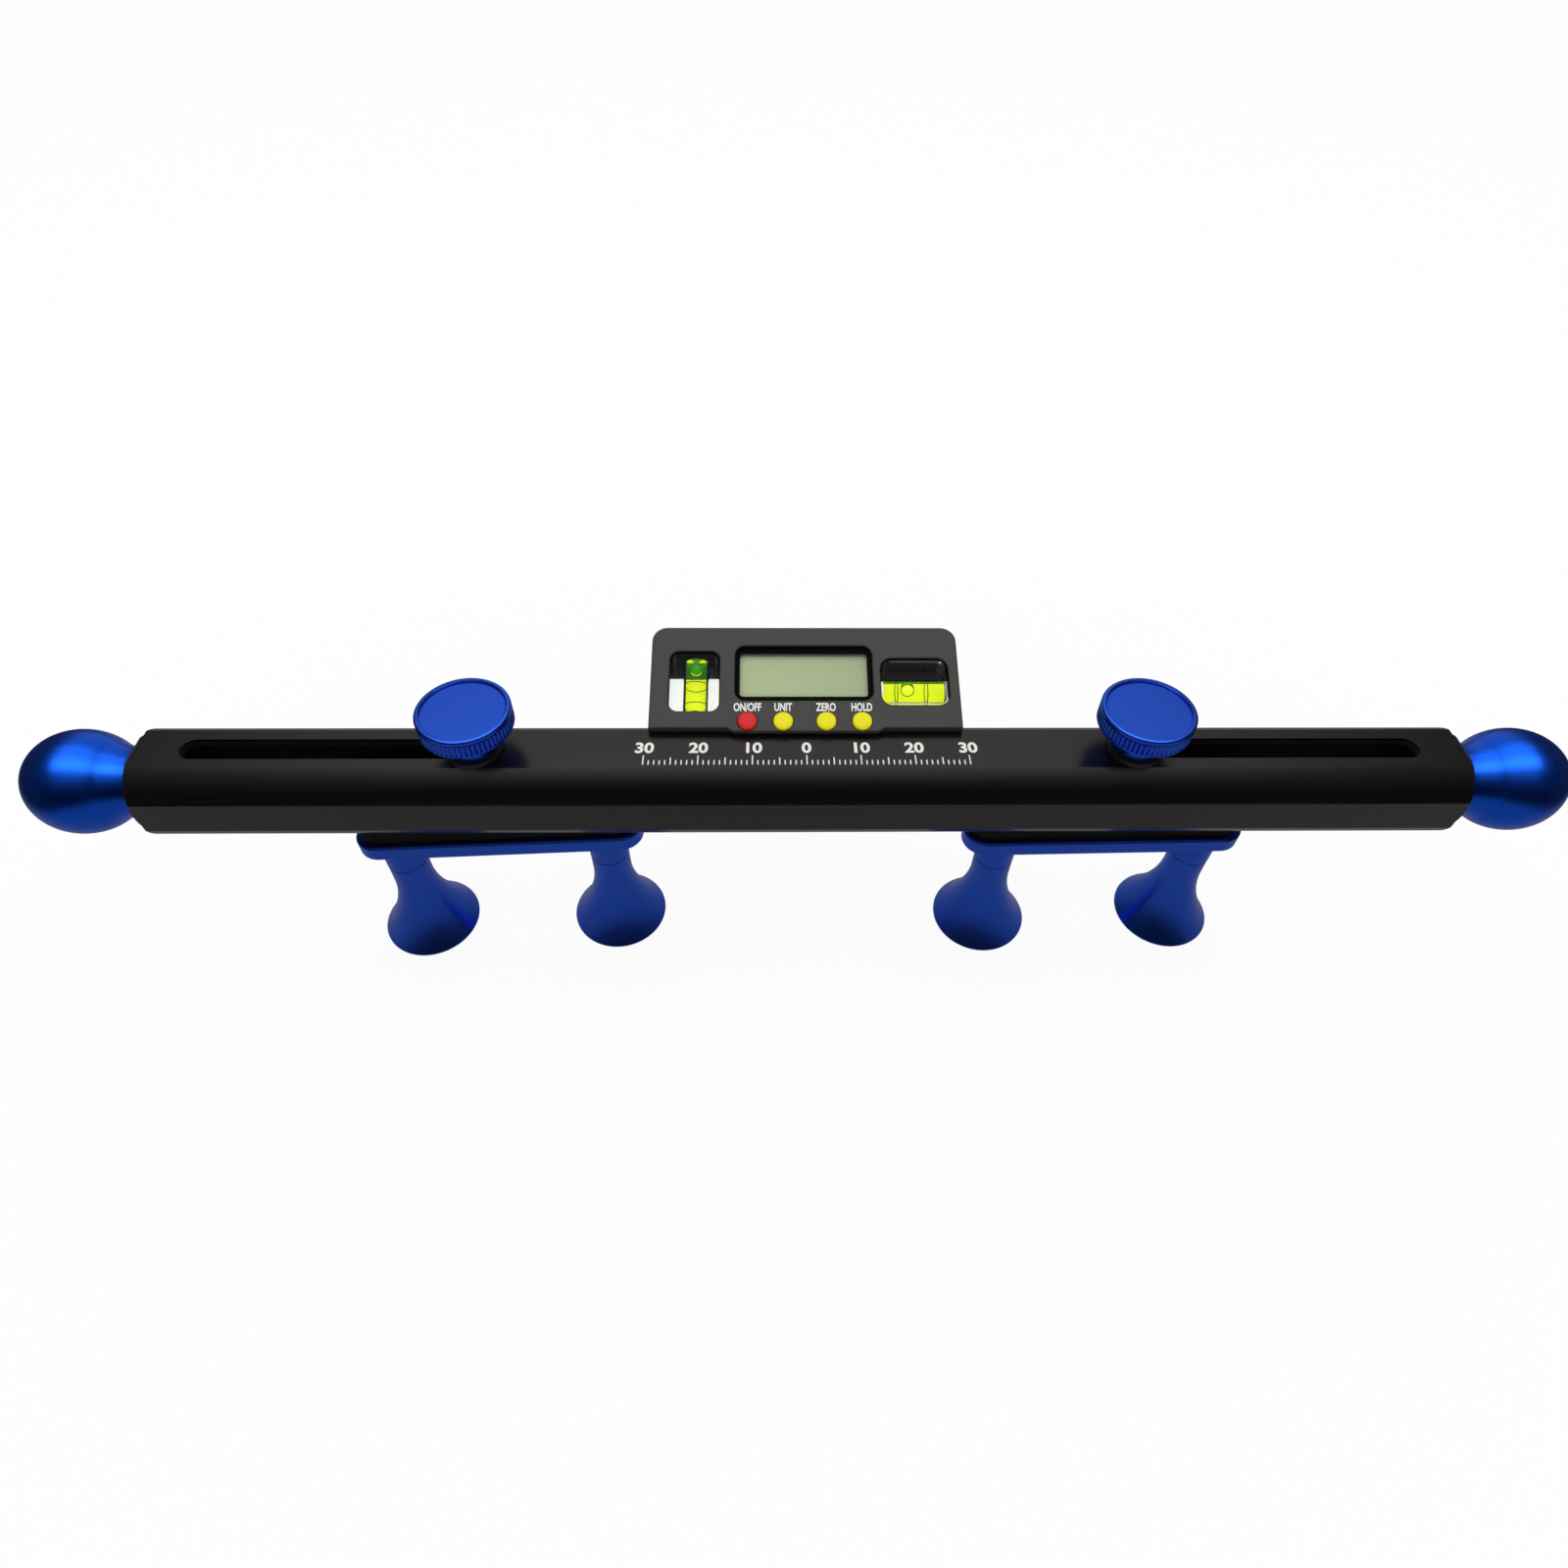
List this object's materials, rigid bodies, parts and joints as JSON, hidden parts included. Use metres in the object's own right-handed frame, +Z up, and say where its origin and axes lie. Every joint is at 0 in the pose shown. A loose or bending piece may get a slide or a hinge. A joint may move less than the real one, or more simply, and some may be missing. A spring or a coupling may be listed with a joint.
{
  "type": "steering wheel level",
  "caption": "Slotted round bar with ball ends, sliding and swivelling footed brackets under thumb knobs, and a tilted digital level on its back, for centring a steering wheel.",
  "frame": {"origin": "on the ground plane under the centre of the whole tool's box, at the level of the feet's flat undersides", "axes": "+X along the bar to the reader's right, -Y towards the reader who faces the display, +Z up"},
  "size_m": [0.5276, 0.0716, 0.1151],
  "materials": {
    "black_anodised": "black anodised, satin",
    "blue_anodised": "blue anodised, polished",
    "steel": "zinc plated",
    "brass": "turned",
    "black_pad": "hard rubber, matt",
    "black_nylon": "moulded",
    "case_grey": "moulded, fine texture",
    "clear_plastic": "clear acrylic, polished",
    "display_glass": "grey-green liquid crystal panel",
    "vial_liquid": "yellow-green liquid",
    "white_plastic": "moulded",
    "red_button": "moulded",
    "yellow_button": "moulded",
    "circuit_board": "solder mask",
    "grey_rubber": "silicone mat",
    "battery": "plain sleeve"
  },
  "bodies": {
    "bar": {"bar": "black_anodised", "left_end_plug": "black_nylon", "left_ball_stud": "steel", "left_ball": "blue_anodised", "left_vial_block": "clear_plastic", "left_vial_liquid": "vial_liquid", "left_vial_backing": "white_plastic", "left_vial_holder": "black_nylon", "right_end_plug": "black_nylon", "right_ball_stud": "steel", "right_ball": "blue_anodised", "right_vial_block": "clear_plastic", "right_vial_liquid": "vial_liquid", "right_vial_backing": "white_plastic", "right_vial_holder": "black_nylon", "front_housing": "case_grey", "rear_cover": "case_grey", "case_screws": "steel", "mounting_strip": "steel", "mounting_screws": "steel", "display_window": "clear_plastic", "display_panel": "display_glass", "button_mat": "grey_rubber", "circuit_board": "circuit_board", "tilt_sensor": "black_nylon", "battery_cells": "battery", "battery_tray": "white_plastic", "battery_contacts": "steel"},
    "left_slider": {"left_slide_block": "black_nylon"},
    "left_bracket": {"left_clamp_stud": "steel", "left_bracket_plate": "blue_anodised", "left_bracket_pad": "black_pad", "left_outer_foot": "blue_anodised", "left_inner_foot": "blue_anodised", "left_foot_screws": "steel"},
    "left_washer": {"left_thrust_washer": "black_nylon"},
    "left_thumb_knob": {"left_knob": "blue_anodised", "left_knob_insert": "brass"},
    "right_slider": {"right_slide_block": "black_nylon"},
    "right_bracket": {"right_clamp_stud": "steel", "right_bracket_plate": "blue_anodised", "right_bracket_pad": "black_pad", "right_outer_foot": "blue_anodised", "right_inner_foot": "blue_anodised", "right_foot_screws": "steel"},
    "right_washer": {"right_thrust_washer": "black_nylon"},
    "right_thumb_knob": {"right_knob": "blue_anodised", "right_knob_insert": "brass"},
    "power_key": {"power_button": "red_button"},
    "unit_key": {"unit_button": "yellow_button"},
    "zero_key": {"zero_button": "yellow_button"},
    "hold_key": {"hold_button": "yellow_button"},
    "door": {"battery_door": "case_grey"}
  },
  "joints": [
    {"name": "left_slide", "type": "slide", "parent": "bar", "child": "left_slider", "axis": [-1, 0, 0], "range_m": [0, 0.075]},
    {"name": "left_swivel", "type": "hinge", "parent": "left_slider", "child": "left_bracket", "pos_m": [-0.11, -0.01605, 0.0811], "axis": [0, 0, 1], "continuous": true},
    {"name": "left_washer_lift", "type": "slide", "parent": "left_bracket", "child": "left_washer", "axis": [0, 0, 1], "range_m": [0, 0.0026]},
    {"name": "left_knob_turn", "type": "hinge", "parent": "left_washer", "child": "left_thumb_knob", "pos_m": [-0.11, -0.01605, 0.0811], "axis": [0, 0, 1], "range_deg": [0, 720]},
    {"name": "right_slide", "type": "slide", "parent": "bar", "child": "right_slider", "axis": [1, 0, 0], "range_m": [0, 0.075]},
    {"name": "right_swivel", "type": "hinge", "parent": "right_slider", "child": "right_bracket", "pos_m": [0.11, -0.01605, 0.0811], "axis": [0, 0, 1], "continuous": true},
    {"name": "right_washer_lift", "type": "slide", "parent": "right_bracket", "child": "right_washer", "axis": [0, 0, 1], "range_m": [0, 0.0026]},
    {"name": "right_knob_turn", "type": "hinge", "parent": "right_washer", "child": "right_thumb_knob", "pos_m": [0.11, -0.01605, 0.0811], "axis": [0, 0, 1], "range_deg": [0, 720]},
    {"name": "power_press", "type": "slide", "parent": "bar", "child": "power_key", "axis": [0, 0.3256, -0.9455], "range_m": [0, 0.0005], "stiffness_N_per_m": 800, "springref_m": -0.0005},
    {"name": "unit_press", "type": "slide", "parent": "bar", "child": "unit_key", "axis": [0, 0.3256, -0.9455], "range_m": [0, 0.0005], "stiffness_N_per_m": 800, "springref_m": -0.0005},
    {"name": "zero_press", "type": "slide", "parent": "bar", "child": "zero_key", "axis": [0, 0.3256, -0.9455], "range_m": [0, 0.0005], "stiffness_N_per_m": 800, "springref_m": -0.0005},
    {"name": "hold_press", "type": "slide", "parent": "bar", "child": "hold_key", "axis": [0, 0.3256, -0.9455], "range_m": [0, 0.0005], "stiffness_N_per_m": 800, "springref_m": -0.0005},
    {"name": "battery_door_slide", "type": "slide", "parent": "bar", "child": "door", "axis": [0, 0.9455, 0.3256], "range_m": [0, 0.034]}
  ],
  "couplings": [
    {"joint": "left_washer_lift", "follows": "left_knob_turn", "m_per_rad": 0.00019894},
    {"joint": "right_washer_lift", "follows": "right_knob_turn", "m_per_rad": 0.00019894}
  ]
}
